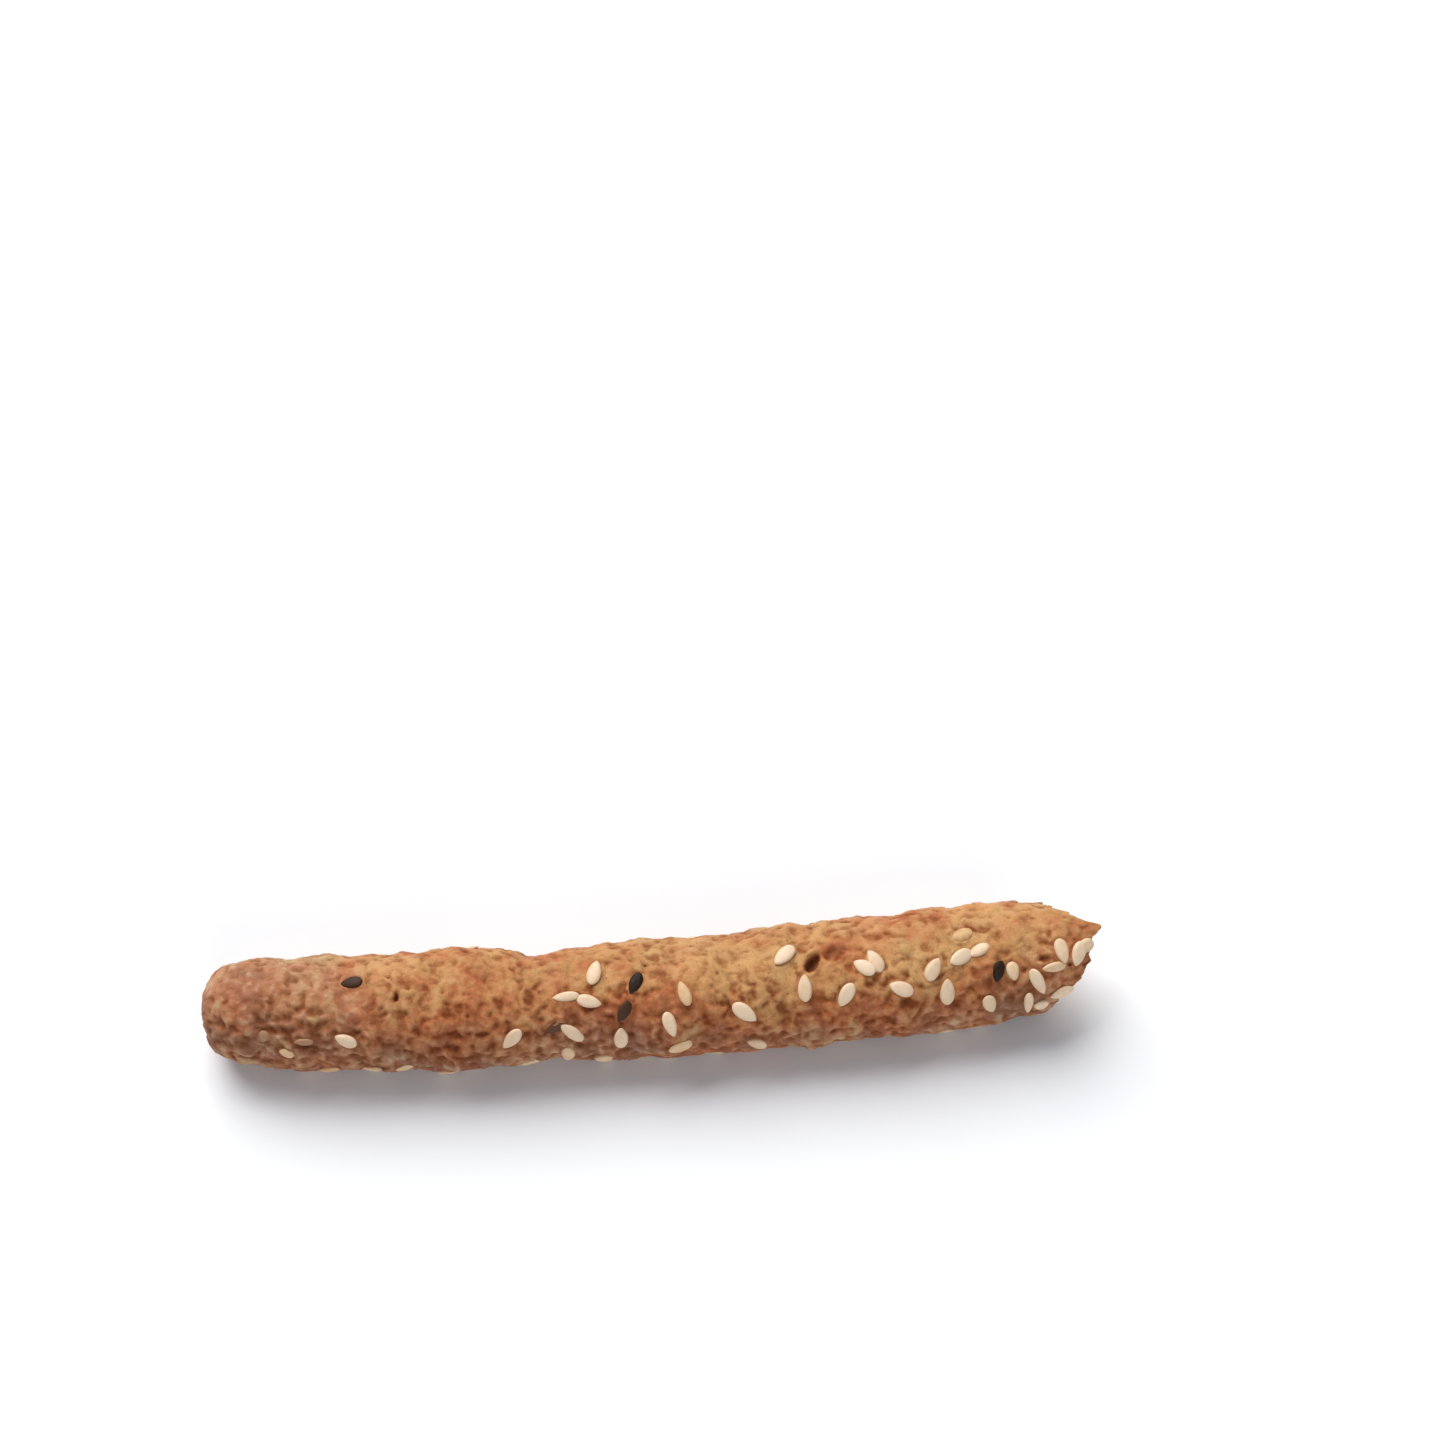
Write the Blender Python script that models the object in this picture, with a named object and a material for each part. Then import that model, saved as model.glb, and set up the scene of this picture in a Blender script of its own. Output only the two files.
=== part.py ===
"""A rusk stick: a finger of coarse wholemeal dough that was rolled, baked and dried hard.

One end is the round end of the rolled dough. The other was snapped off at a slant, so its
crust stops at a ragged rim, longest on top, round a sunken face of open crumb.

+X runs along the stick to the snapped end, +Y to the back and +Z up. The stick lies on its
flat underside, with the origin under its middle. Lengths are in metres.
"""

from math import acos, atan2, cos, exp, pi, radians, sin

import bmesh
import bpy
from mathutils import Vector

MM = 0.001

# The whole stick
LENGTH = 111.8 * MM  # round end to the tip of the snapped crust
FLATNESS = 0.92  # height of the dough against its width, as it slumped in the oven
BASE_SINK = 1.1 * MM  # how much of the round section the tray flattened away
BASE_EASE = 0.5 * MM  # height over which the flat underside turns into the side
BOW = 2.4 * MM  # how far both ends curve to the back of the middle

# Half the width of the dough at each distance from the round end, in millimetres
GIRTH = ((0, 6.1), (13, 7.0), (31, 7.55), (44, 7.0), (62, 7.5), (88, 7.75), (100, 7.4), (113, 7.1))

# The round end
DOME_LENGTH = 5.0 * MM
DOME_BLUNTNESS = 2.4  # 2 is an ellipse, and more is squarer

# The snapped end
BREAK_AT = 105.2 * MM  # where the snapped face crosses the middle of the dough
BREAK_LEAN = 5.4 * MM  # how much further the crust reaches on its long side
BREAK_NARROWNESS = 2.6  # 1 is a plane cut, and more keeps the long side narrower
BREAK_SHORT_SIDE = 0.35  # share of that lean by which it falls short on the other side
BREAK_ROUND = radians(17)  # the long side, turned from the top to the front
NECK_LENGTH = 5.5 * MM  # the last stretch, where the dough thins towards the break
NECK_THINNING = 0.06
FLAP_REACH = 1.7 * MM  # the blunt flap of top crust
FLAP_ROUND = radians(-3)
FLAP_HALF_ANGLE = radians(11)
CRUST_THICKNESS = 0.13  # share of the section's radius
CRUMB_RECESS = 0.6 * MM  # how far the crumb lies inside the rim

# Swells of the hand-rolled surface: height in mm, waves along, waves round, phase in degrees
SWELLS = (
    (0.12, 5.3, 2, 40),
    (0.10, 8.7, -3, 110),
    (0.10, 12.1, 1, 250),
    (0.08, 14.9, 4, 15),
    (0.06, 19.3, -1, 190),
    (0.06, 23.6, -5, 300),
    (0.05, 29.8, 3, 75),
)
# Dents: mm along, degrees round from the top to the front, depth in mm, reach in mm and degrees
DENTS = (
    (27.2, -65, 0.50, 1.4, 24),
    (42.3, -68, 0.90, 2.6, 30),
    (61.0, -65, 0.40, 1.5, 25),
    (67.0, -65, 0.40, 1.7, 25),
)
# Waves of the ragged rim: height in mm, waves round, phase in degrees
RAGS = ((0.22, 5, 140), (0.20, 8, 70), (0.16, 13, 20))

# Facets
SIDES = 36
DOME_RINGS = 6
BODY_RINGS = 62
FACE_RINGS = 7
RINGS = DOME_RINGS + BODY_RINGS + FACE_RINGS


def smooth_step(share):
    """0 below 0, 1 above 1, and a smooth rise between."""
    share = min(max(share, 0.0), 1.0)
    return share * share * (3 - 2 * share)


def half_width(along):
    """Half the dough's width at a distance from the round end, eased from one girth to the next."""
    for (start, thin), (end, thick) in zip(GIRTH, GIRTH[1:]):
        if along <= end * MM:
            break
    share = smooth_step((along / MM - start) / (end - start))
    return (thin + (thick - thin) * share) * MM


def centre(along):
    """The middle of the dough: a shallow bow to the back, at a constant height."""
    x = along - LENGTH / 2
    height = half_width(LENGTH / 2) * FLATNESS - BASE_SINK
    return Vector((x, BOW * (2 * x / LENGTH) ** 2, height))


def rim_reach(turn):
    """How far along the crust reaches, round the stick: a slanted snap, a flap on top and rags."""
    facing = cos(turn - BREAK_ROUND)
    lean = BREAK_LEAN * (facing**BREAK_NARROWNESS if facing > 0 else facing * BREAK_SHORT_SIDE)
    off_flap = abs(atan2(sin(turn - FLAP_ROUND), cos(turn - FLAP_ROUND))) / FLAP_HALF_ANGLE
    flap = FLAP_REACH * smooth_step(1 - off_flap)
    rags = sum(height * sin(waves * turn + radians(phase)) for height, waves, phase in RAGS)
    return min(BREAK_AT + lean + flap + rags * MM, LENGTH)


def thinning(along, turn):
    """Share of the full radius that is left at the round end and at the neck before the break."""
    before_dome = max(0.0, 1 - along / DOME_LENGTH)
    dome = (1 - before_dome**DOME_BLUNTNESS) ** (1 / DOME_BLUNTNESS)
    into_neck = max(0.0, 1 - (rim_reach(turn) - along) / NECK_LENGTH)
    return dome * (1 - NECK_THINNING * into_neck**2)


def swelling(along, turn):
    """How far the surface stands out or in: the sum of the swells, less the dents."""
    height = 0.0
    for swell, waves_along, waves_round, phase in SWELLS:
        wave = 2 * pi * waves_along * along / LENGTH + waves_round * turn
        height += swell * sin(wave + radians(phase))
    for at, at_turn, depth, reach, reach_turn in DENTS:
        off_turn = atan2(sin(turn - radians(at_turn)), cos(turn - radians(at_turn)))
        off = ((along / MM - at) / reach) ** 2 + (off_turn / radians(reach_turn)) ** 2
        height -= depth * exp(-off)
    return height * MM


def settled(z):
    """Height after the dough settled on the tray: flat at 0, eased into the side."""
    if z >= BASE_EASE:
        return z
    return max(0.0, z + BASE_EASE) ** 2 / (4 * BASE_EASE)


def crust_point(along, turn):
    """A point of the crust: an oval round the bowed middle, turned from the top to the front."""
    left = thinning(along, turn)
    out = swelling(along, turn) * left
    wide = half_width(along) * left + out
    high = half_width(along) * FLATNESS * left + out
    point = centre(along) + Vector((0, -wide * sin(turn), high * cos(turn)))
    point.z = settled(point.z)
    return point


def crumb_point(share, turn):
    """A point of the snapped face, share of the way from its middle out to the crust's rim."""
    rim = crust_point(rim_reach(turn), turn)
    point = centre(BREAK_AT).lerp(rim, share)
    point.x -= CRUMB_RECESS * smooth_step((1 - share) / CRUST_THICKNESS)
    return point


def stick_point(ring, turn):
    """The surface from the round end's pole, ring 0, over the crust to the snapped face's middle."""
    if ring <= DOME_RINGS:
        return crust_point(DOME_LENGTH * (1 - cos(pi / 2 * ring / DOME_RINGS)), turn)
    if ring <= DOME_RINGS + BODY_RINGS:
        share = (ring - DOME_RINGS) / BODY_RINGS
        return crust_point(DOME_LENGTH + (rim_reach(turn) - DOME_LENGTH) * share, turn)
    inwards = (ring - DOME_RINGS - BODY_RINGS) / FACE_RINGS
    return crumb_point(1 - inwards, turn)


def baked_material():
    """Matt golden-brown crust."""
    material = bpy.data.materials.new("crust")
    material.use_nodes = True
    shader = material.node_tree.nodes["Principled BSDF"]
    shader.inputs["Base Color"].default_value = (0.45, 0.22, 0.09, 1)
    shader.inputs["Roughness"].default_value = 0.75
    shader.inputs["Metallic"].default_value = 0.0
    return material


def rusk_stick():
    """A ball of dough with its poles on X, each vertex moved to its place on the stick."""
    shape = bmesh.new()
    bmesh.ops.create_uvsphere(shape, u_segments=SIDES, v_segments=RINGS, radius=1)
    for vertex in shape.verts:
        ring = round(acos(min(max(vertex.co.z, -1.0), 1.0)) * RINGS / pi)
        vertex.co = stick_point(ring, atan2(vertex.co.y, vertex.co.x))
    lows = [min(vertex.co[axis] for vertex in shape.verts) for axis in range(3)]
    highs = [max(vertex.co[axis] for vertex in shape.verts) for axis in range(3)]
    under_middle = Vector(((lows[0] + highs[0]) / 2, (lows[1] + highs[1]) / 2, lows[2]))
    bmesh.ops.translate(shape, vec=-under_middle, verts=shape.verts)
    bmesh.ops.recalc_face_normals(shape, faces=shape.faces)
    mesh = bpy.data.meshes.new("rusk_stick")
    shape.to_mesh(mesh)
    shape.free()
    mesh.shade_smooth()
    mesh.materials.append(baked_material())
    stick = bpy.data.objects.new("rusk_stick", mesh)
    bpy.context.scene.collection.objects.link(stick)
    return stick


for leftover in list(bpy.data.objects):
    bpy.data.objects.remove(leftover)
rusk_stick()
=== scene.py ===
"""The looks of a rusk stick: a finger of coarse wholemeal dough, sown with sesame and baked twice.

The crust, the snapped crumb and the seeds are surfaces worked out with numpy, in millimetres, in
the stick's own terms: along runs from the round end to the snapped end, and turn goes round the
stick, 0 on top and a quarter turn at the front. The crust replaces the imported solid, and has the
same form.
"""

from itertools import product

import bpy
import numpy as np
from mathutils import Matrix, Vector


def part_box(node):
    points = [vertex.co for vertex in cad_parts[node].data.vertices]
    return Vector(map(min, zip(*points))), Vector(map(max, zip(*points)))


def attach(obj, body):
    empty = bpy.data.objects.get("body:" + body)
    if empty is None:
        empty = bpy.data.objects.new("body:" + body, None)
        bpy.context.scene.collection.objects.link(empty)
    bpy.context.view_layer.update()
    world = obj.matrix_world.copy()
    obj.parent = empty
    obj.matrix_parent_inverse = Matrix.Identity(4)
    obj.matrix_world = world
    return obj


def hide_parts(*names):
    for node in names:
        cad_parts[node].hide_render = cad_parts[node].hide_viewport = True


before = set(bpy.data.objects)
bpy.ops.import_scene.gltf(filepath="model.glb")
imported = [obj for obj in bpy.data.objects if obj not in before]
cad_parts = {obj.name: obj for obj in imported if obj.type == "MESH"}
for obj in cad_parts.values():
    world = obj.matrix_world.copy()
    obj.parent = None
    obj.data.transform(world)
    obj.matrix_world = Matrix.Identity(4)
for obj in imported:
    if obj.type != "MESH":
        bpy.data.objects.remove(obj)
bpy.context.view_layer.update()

MM = 0.001
PI = np.pi
NODE = "rusk_stick"


# ---------------------------------------------------------------- the form, the same as the solid's

LENGTH = 111.8  # round end to the tip of the snapped crust
FLATNESS = 0.92  # height of the dough against its width
BASE_SINK = 1.1  # how much of the round section the tray flattened away
BASE_EASE = 0.5  # height over which the flat underside turns into the side
BOW = 2.4  # how far both ends curve to the back of the middle

# Half the width of the dough at each distance from the round end
GIRTH = ((0, 6.1), (13, 7.0), (31, 7.55), (44, 7.0), (62, 7.5), (88, 7.75), (100, 7.4), (113, 7.1))

DOME_LENGTH = 5.0  # how far along the round end reaches
DOME_BLUNTNESS = 2.4  # 2 is an ellipse, and more is squarer

BREAK_AT = 105.2  # where the snapped face crosses the middle of the dough
BREAK_LEAN = 5.4  # how much further the crust reaches on its long side
BREAK_NARROWNESS = 2.6  # 1 is a plane cut, and more keeps the long side narrower
BREAK_SHORT_SIDE = 0.35  # share of that lean by which it falls short on the other side
BREAK_ROUND = np.radians(17)  # the long side, turned from the top to the front
NECK_LENGTH = 5.5  # the last stretch, where the dough thins towards the break
NECK_THINNING = 0.06
FLAP_REACH = 1.7  # the blunt flap of top crust
FLAP_ROUND = np.radians(-3)
FLAP_HALF_ANGLE = np.radians(11)

MEAN_RADIUS = 7.3  # for turning an angle round the stick into a distance
SMALL_STEP = 0.02  # in mm along and in radians round, for finding which way the crust faces

# Swells of the hand-rolled surface: height, waves along, waves round, phase in degrees
SWELLS = (
    (0.12, 5.3, 2, 40),
    (0.10, 8.7, -3, 110),
    (0.10, 12.1, 1, 250),
    (0.08, 14.9, 4, 15),
    (0.06, 19.3, -1, 190),
    (0.06, 23.6, -5, 300),
    (0.05, 29.8, 3, 75),
)
# Dents: along, degrees round, depth, reach along and in degrees
DENTS = (
    (27.2, -65, 0.50, 1.4, 24),
    (42.3, -68, 0.90, 2.6, 30),
    (61.0, -65, 0.40, 1.5, 25),
    (67.0, -65, 0.40, 1.7, 25),
)
# Waves of the ragged rim: height, waves round, phase in degrees
RAGS = ((0.22, 5, 140), (0.20, 8, 70), (0.16, 13, 20))
# The same for the finer tatters that only the look has
TATTERS = ((0.11, 23, 10), (0.08, 37, 250), (0.05, 61, 70))


def smooth_step(share):
    """0 below 0, 1 above 1, and a smooth rise between."""
    share = np.clip(share, 0.0, 1.0)
    return share * share * (3 - 2 * share)


def turned_from(turn, middle):
    """The angle from middle to turn the shorter way round, from -pi to pi."""
    return np.arctan2(np.sin(turn - middle), np.cos(turn - middle))


def half_width(along):
    """Half the dough's width at each distance, eased from one girth to the next."""
    places, widths = np.array(GIRTH).T
    before = np.clip(np.searchsorted(places, along, side="left") - 1, 0, len(places) - 2)
    share = smooth_step((along - places[before]) / (places[before + 1] - places[before]))
    return widths[before] + (widths[before + 1] - widths[before]) * share


def centre(along):
    """The middle of the dough: a shallow parabola to the back, at a constant height."""
    x = along - LENGTH / 2
    height = half_width(np.array(LENGTH / 2)) * FLATNESS - BASE_SINK
    return np.stack(np.broadcast_arrays(x, BOW * (2 * x / LENGTH) ** 2, height), -1)


def waves(turn, rows):
    """The sum of height times sin(count times turn plus phase) over the rows."""
    return sum(height * np.sin(count * turn + np.radians(phase)) for height, count, phase in rows)


def rim_reach(turn):
    """How far along the crust reaches: a slanted snap, a blunt flap and the ragged waves."""
    facing = np.cos(turn - BREAK_ROUND)
    long_side = np.maximum(facing, 0) ** BREAK_NARROWNESS
    lean = BREAK_LEAN * np.where(facing > 0, long_side, facing * BREAK_SHORT_SIDE)
    off_flap = np.abs(turned_from(turn, FLAP_ROUND)) / FLAP_HALF_ANGLE
    flap = FLAP_REACH * smooth_step(1 - off_flap)
    return np.minimum(BREAK_AT + lean + flap + waves(turn, RAGS), LENGTH)


def thinning(along, turn):
    """Share of the radius left at the round end, a superellipse, and at the neck, a parabola."""
    before_dome = np.maximum(0, 1 - along / DOME_LENGTH)
    dome = (1 - before_dome**DOME_BLUNTNESS) ** (1 / DOME_BLUNTNESS)
    into_neck = np.clip(1 - (rim_reach(turn) - along) / NECK_LENGTH, 0, 1.2)
    return dome * (1 - NECK_THINNING * into_neck**2)


def swelling(along, turn):
    """The sum of the swells, each a sine along and round, less the dents, each a bell curve."""
    height = 0.0
    for swell, along_count, round_count, phase in SWELLS:
        angle = 2 * PI * along_count * along / LENGTH + round_count * turn
        height = height + swell * np.sin(angle + np.radians(phase))
    for at, at_turn, depth, reach, reach_turn in DENTS:
        off_turn = turned_from(turn, np.radians(at_turn)) / np.radians(reach_turn)
        height = height - depth * np.exp(-(((along - at) / reach) ** 2) - off_turn**2)
    return height


def settled(z):
    """Height after the dough settled on the tray: 0, then a parabola, then itself."""
    eased = np.maximum(0, z + BASE_EASE) ** 2 / (4 * BASE_EASE)
    return np.where(z >= BASE_EASE, z, eased)


def bare_crust(along, turn):
    """The smooth form: an oval round the bowed middle, FLATNESS as high as wide, settled flat."""
    left = thinning(along, turn)
    out = swelling(along, turn) * left
    wide = half_width(along) * left + out
    high = half_width(along) * FLATNESS * left + out
    middle = centre(along)
    y = middle[..., 1] - wide * np.sin(turn)
    z = settled(middle[..., 2] + high * np.cos(turn))
    return np.stack(np.broadcast_arrays(middle[..., 0], y, z), -1)


def unit(vectors):
    """Each vector over its length."""
    return vectors / np.maximum(np.linalg.norm(vectors, axis=-1, keepdims=True), 1e-12)


def crust_frame(along, turn):
    """The point, the way along, the way to the back and the way out, from small steps each way."""
    point = bare_crust(along, turn)
    behind = bare_crust(np.maximum(along - SMALL_STEP, 0), turn)
    forward = unit(bare_crust(along + SMALL_STEP, turn) - behind)
    around = unit(bare_crust(along, turn + SMALL_STEP) - bare_crust(along, turn - SMALL_STEP))
    out = unit(np.cross(around, forward))
    return point, forward, np.cross(out, forward), out


def shift_onto_solid():
    """The step that brings the form's round end, its middle sideways and its base to the solid's."""
    low, high = (np.array(corner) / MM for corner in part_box(NODE))
    along, turn = np.meshgrid(np.linspace(0, LENGTH, 200), np.linspace(-PI, PI, 181))
    sideways = bare_crust(np.minimum(along, rim_reach(turn)), turn)[..., 1]
    middle = (sideways.min() + sideways.max()) / 2
    return np.array((low[0] + LENGTH / 2, (low[1] + high[1]) / 2 - middle, low[2]))


SHIFT = shift_onto_solid()


# ---------------------------------------------------------------- steady noise

NOISE_GAIN = 1.6  # brings the blended slopes up to about 1


def hashed(cell, salt):
    """A steady random number from 0 to 1 for each cell: its three whole numbers, mixed as bits with
    a salt, which sets one pattern apart from another."""
    x, y, z = (cell[..., axis].astype(np.int64).astype(np.uint32) for axis in range(3))
    mixed = x * np.uint32(0x8DA6B343) ^ y * np.uint32(0xD8163841) ^ z * np.uint32(0xCB1AB31F)
    mixed = mixed ^ np.uint32((salt * 0x9E3779B9) & 0xFFFFFFFF)
    mixed = (mixed ^ (mixed >> np.uint32(15))) * np.uint32(0x2C1B3C6D)
    mixed = (mixed ^ (mixed >> np.uint32(12))) * np.uint32(0x297A2D39)
    return (mixed ^ (mixed >> np.uint32(15))) / 2.0**32


def noise(points, size, salt):
    """Gradient noise from about -1 to 1: each lattice corner has a random slope, and eight blend."""
    scaled = points / size
    lattice = np.floor(scaled)
    inside = scaled - lattice
    ease = inside**3 * (inside * (inside * 6 - 15) + 10)
    total = np.zeros(points.shape[:-1])
    for corner in product((0, 1), repeat=3):
        cell = lattice + corner
        slope = np.stack([hashed(cell, salt * 7 + axis) for axis in range(3)], -1) * 2 - 1
        weight = np.prod(np.where(np.array(corner) == 1, ease, 1 - ease), axis=-1)
        total += weight * np.sum(slope * (inside - corner), axis=-1)
    return total * NOISE_GAIN


def bends(points, size, salt):
    """Three noises as one vector, for bending a pattern."""
    return np.stack([noise(points, size, salt + axis) for axis in range(3)], -1)


def cells(points, size, salt):
    """One random spot in each cell of a lattice: how far the nearest one is, in sizes, and its own
    random number."""
    scaled = points / size
    lattice = np.floor(scaled)
    nearest = np.full(points.shape[:-1], np.inf)
    own = np.zeros(points.shape[:-1])
    for step in product((-1, 0, 1), repeat=3):
        cell = lattice + step
        spot = cell + np.stack([hashed(cell, salt * 11 + axis) for axis in range(3)], -1)
        away = np.linalg.norm(scaled - spot, axis=-1)
        own = np.where(away < nearest, hashed(cell, salt * 11 + 5), own)
        nearest = np.minimum(nearest, away)
    return nearest, own


# ---------------------------------------------------------------- seeds: where each one lies

SEED_LENGTH = 3.2
SEED_WIDTH = 1.85
SEED_THICKNESS = 0.80

# White seeds on the shown side: along, degrees round, degrees that the length is turned from along
# towards the back, length and width as shares of a full seed, toast from 0 to 1, and how deep the
# seed is sunk, as a share of its thickness
WHITE_SEEDS = (
    (17.9, 51, -21, 0.90, 0.95, 0.1, 0.10),
    (7.8, 49, 80, 0.50, 1.00, 1.0, 0.30),
    (12.8, 52, 2, 0.74, 0.60, 0.9, 0.30),
    (10.5, 67, -6, 0.62, 0.80, 0.5, 0.28),
    (15.3, 107, 10, 0.85, 1.00, 0.4, 0.15),
    (20.6, 106, -10, 0.80, 1.00, 0.3, 0.20),
    (24.6, 100, 5, 0.80, 1.00, 0.5, 0.32),
    (38.2, 55, 50, 1.12, 0.86, 0.1, 0.05),
    (40.1, 107, 15, 0.90, 1.00, 0.3, 0.10),
    (44.9, 85, 85, 0.86, 1.00, 0.2, 0.00),
    (45.5, 53, -41, 1.16, 0.80, 0.0, 0.05),
    (45.1, 15, 4, 1.04, 0.66, 0.1, 0.24),
    (47.9, 21, 163, 1.00, 0.86, 0.0, 0.05),
    (48.8, -7, -107, 1.02, 1.00, 0.0, 0.00),
    (49.2, 98, 8, 0.75, 1.00, 0.2, 0.15),
    (51.5, 63, -92, 1.14, 0.94, 0.0, 0.05),
    (57.6, 48, 107, 1.02, 0.88, 0.0, 0.05),
    (59.6, 20, -73, 1.00, 0.86, 0.4, 0.15),
    (58.7, 75, 13, 0.98, 1.00, 0.2, 0.15),
    (66.8, 42, 141, 1.10, 1.00, 0.0, 0.00),
    (68.2, 83, 0, 0.80, 1.00, 0.3, 0.10),
    (72.2, -8, 40, 1.05, 1.00, 0.0, 0.00),
    (74.4, 25, -94, 1.06, 0.95, 0.1, 0.05),
    (79.4, 35, 56, 1.03, 0.95, 0.0, 0.05),
    (81.9, 12, -36, 0.94, 1.00, 0.0, -0.10),
    (83.3, 7, -64, 0.97, 1.00, 0.1, 0.05),
    (86.2, 35, -25, 1.00, 1.00, 0.0, 0.00),
    (90.3, 21, -123, 0.98, 1.00, 0.0, 0.05),
    (91.9, 44, -95, 1.08, 1.00, 0.0, 0.00),
    (93.8, 13, 22, 1.00, 1.00, 0.0, 0.00),
    (96.2, 8, 20, 0.88, 0.85, 0.1, 0.20),
    (94.3, -10, 14, 0.92, 1.00, 0.7, 0.28),
    (97.1, 63, 105, 0.84, 1.00, 0.0, 0.05),
    (100.2, 33, 95, 0.74, 1.00, 0.1, 0.10),
    (103.2, 45, 111, 1.12, 0.86, 0.0, 0.00),
    (105.3, 34, -2, 1.06, 0.68, 0.1, 0.12),
    (106.4, 20, 97, 1.00, 1.00, 0.0, 0.05),
    (108.4, 25, 68, 1.00, 1.00, 0.0, 0.00),
    (109.4, 18, 14, 0.85, 1.00, 0.0, 0.05),
    (102.0, 70, 84, 0.98, 0.66, 0.0, 0.05),
    (103.6, 78, -30, 0.72, 1.00, 0.0, 0.05),
    (106.2, 65, 14, 0.98, 1.00, 0.0, 0.05),
)
# Black seeds, smaller, in the same terms
BLACK_SEEDS = (
    (19.0, -10, 0, 0.88, 1.00, 0.3, 0.10),
    (53.7, 6, 62, 0.90, 1.00, 0.0, 0.08),
    (52.1, 33, 56, 0.88, 1.00, 0.45, 0.24),
    (98.4, 31, 70, 0.84, 1.00, 0.0, 0.12),
    (43.5, 45, 28, 0.84, 1.00, 1.0, 0.44),
)
BLACK_SHARE = 0.86  # of a white seed's width and thickness

SHOWN_FROM, SHOWN_TO = -80, 126  # degrees round of the side whose seeds are listed one by one
SCATTER_WHITE = 28
SCATTER_BLACK = 4
SCATTER_FROM, SCATTER_REACH = 4, 103  # where the scattered seeds start, and how far along they go
SCATTER_CROWDING = 0.8  # 1 is even, and less crowds them towards the snapped end
SCATTER_GAP = 2.6  # least distance between scattered seeds
RIM_GAP = 1.8  # least distance of their middles from the rim
BARE_HALF = 42  # degrees each side of the underside's middle that lay on the tray


def scattered_seeds(count, seed, taken):
    """Rows like the tables' at random places on the other sides, a gap away from all before them.

    Each is drawn again while it lies on the tray, too near the rim or too near another. Toast is a
    cube and sink a square, so that most are pale and shallow."""
    chance = np.random.default_rng(seed)
    rows = []
    while len(rows) < count:
        along = SCATTER_FROM + SCATTER_REACH * chance.random() ** SCATTER_CROWDING
        turn = SHOWN_TO + (360 - SHOWN_TO + SHOWN_FROM) * chance.random()
        spin, toast, sink, length, width = chance.random(5)
        on_tray = abs(turn - 180) < BARE_HALF
        too_far = along > rim_reach(np.radians(turn)) - RIM_GAP
        round_mm = MEAN_RADIUS * np.radians(turn)
        near = any(np.hypot(along - a, round_mm - r) < SCATTER_GAP for a, r in taken)
        if on_tray or too_far or near:
            continue
        taken.append((along, round_mm))
        shape = 360 * spin, 0.88 + 0.22 * length, 0.80 + 0.24 * width
        rows.append((along, turn, *shape, toast**3, 0.14 + 0.22 * sink**2))
    return tuple(rows)


def seed_places():
    """Every white and black seed: the listed rows, then the scattered ones."""
    taken = []
    white = WHITE_SEEDS + scattered_seeds(SCATTER_WHITE, 5, taken)
    black = BLACK_SEEDS + scattered_seeds(SCATTER_BLACK, 9, taken)
    return np.array(white, float), np.array(black, float)


WHITE_ROWS, BLACK_ROWS = seed_places()


# ---------------------------------------------------------------- the crust's relief and tones

# Patches of tone: along, degrees round, reach along and round, how much paler, how much duskier
PATCHES = (
    (4.0, 18, 6.0, 9.0, -0.42, 0.4),
    (9.0, 26, 8.0, 3.0, -0.20, -0.2),
    (18.0, 28, 2.6, 3.0, -0.25, -0.3),
    # darker over the fold above the embedded seeds: painted shade
    (8.6, 42, 2.8, 1.1, -0.45, -0.5),
    (16.0, 0, 6.0, 7.0, -0.26, 0.5),
    (13.0, -26, 4.0, 3.0, -0.26, 0.0),
    (7.0, -32, 9.0, 4.0, 0.10, 0.8),
    (12.0, 52, 9.0, 4.5, -0.10, 0.6),
    (22.9, 0, 2.5, 5.0, 0.14, 0.0),
    (27.9, -5, 3.0, 7.0, -0.20, 0.0),
    (32.8, 46, 4.0, 4.5, -0.28, 0.1),
    (38.0, -15, 5.0, 5.0, -0.22, -0.3),
    (44.0, 60, 4.0, 4.0, 0.00, 0.9),
    (47.6, 33, 3.0, 3.0, -0.40, 0.3),
    (47.6, -24, 3.0, 2.5, -0.20, 0.0),
    (52.5, 32, 4.5, 2.5, -0.20, 0.0),
    (59.5, 36, 4.5, 3.5, -0.34, 0.0),
    (58.0, -30, 9.0, 3.0, -0.16, 0.0),
    (55.0, 74, 7.0, 3.0, 0.05, 0.7),
    (69.0, 8, 5.0, 6.0, 0.34, 0.0),
    (50.0, 2, 6.0, 2.5, 0.20, 0.0),
    (64.0, 14, 5.0, 2.2, 0.24, 0.0),
    (75.5, 28, 3.5, 2.2, 0.20, 0.0),
    # browner inside the small hole beside the cavity: partly the crust's colour, partly painted shade
    (78.4, -5, 1.6, 1.2, -0.60, -0.4),
    (72.0, 55, 2.5, 2.5, 0.36, 0.0),
    (77.5, 53, 2.5, 2.5, -0.24, 0.0),
    (86.0, -28, 6.0, 2.6, -0.30, 0.0),
    (88.5, 12, 4.5, 4.0, 0.34, 0.0),
    (92.0, -28, 3.0, 3.0, -0.20, 0.0),
    (97.0, -12, 4.5, 5.0, 0.36, 0.1),
    (108.0, 38, 4.0, 7.0, -0.32, 0.0),
    (102.5, 62, 6.0, 4.5, 0.14, 0.9),
    (66.0, 36, 9.0, 3.0, -0.26, -0.5),
    (80.0, 43, 7.0, 2.4, -0.12, -0.5),
    (96.0, 36, 5.0, 2.8, -0.20, -0.4),
    (68.0, 24, 16.0, 2.6, 0.00, -0.6),
)


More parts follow.
